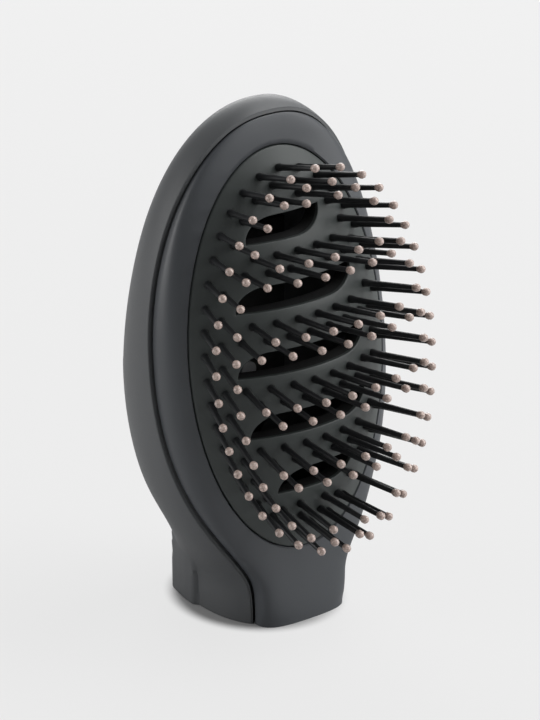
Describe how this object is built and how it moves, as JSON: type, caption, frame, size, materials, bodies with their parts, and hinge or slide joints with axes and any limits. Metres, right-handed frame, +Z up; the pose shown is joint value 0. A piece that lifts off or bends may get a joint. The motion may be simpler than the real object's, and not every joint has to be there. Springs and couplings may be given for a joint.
{
  "type": "hot air brush head",
  "caption": "Oval paddle brush head of a hot air styler, with a hollow back, a domed plate of ball-tipped pins, curved air vents and an oval coupling collar.",
  "frame": {"origin": "centre of the bounding box in X and Y, at the collar's rim, which it stands on", "axes": "+Z up from the collar to the crown, the pins face -Y, +X to the right seen from the pins' side"},
  "size_m": [0.0732, 0.0721, 0.1384],
  "materials": {
    "casing_plastic": "fine-grained charcoal moulding",
    "frame_plastic": "satin charcoal moulding",
    "plate_plastic": "satin dark grey moulding",
    "pin_nylon": "black nylon pins with pale ball tips",
    "inner_plastic": "black moulding inside the head",
    "seal_rubber": "soft black seal",
    "screw_steel": "plain steel"
  },
  "bodies": {
    "root": {"rear_casing": "casing_plastic", "front_frame": "frame_plastic", "bristle_plate": "plate_plastic", "pin_clamp_plate": "inner_plastic", "pin_strip_edge_right": "pin_nylon", "pin_strip_edge_upper_right": "pin_nylon", "pin_strip_edge_top": "pin_nylon", "pin_strip_edge_upper_left": "pin_nylon", "pin_strip_edge_left": "pin_nylon", "pin_strip_edge_lower_left": "pin_nylon", "pin_strip_edge_bottom": "pin_nylon", "pin_strip_edge_lower_right": "pin_nylon", "pin_strip_band_1": "pin_nylon", "pin_strip_band_2": "pin_nylon", "pin_strip_band_3": "pin_nylon", "pin_strip_band_4": "pin_nylon", "coupling_socket": "inner_plastic", "socket_seal": "seal_rubber", "air_guide": "inner_plastic", "guide_screw_1": "screw_steel", "guide_screw_2": "screw_steel"}
  },
  "joints": []
}
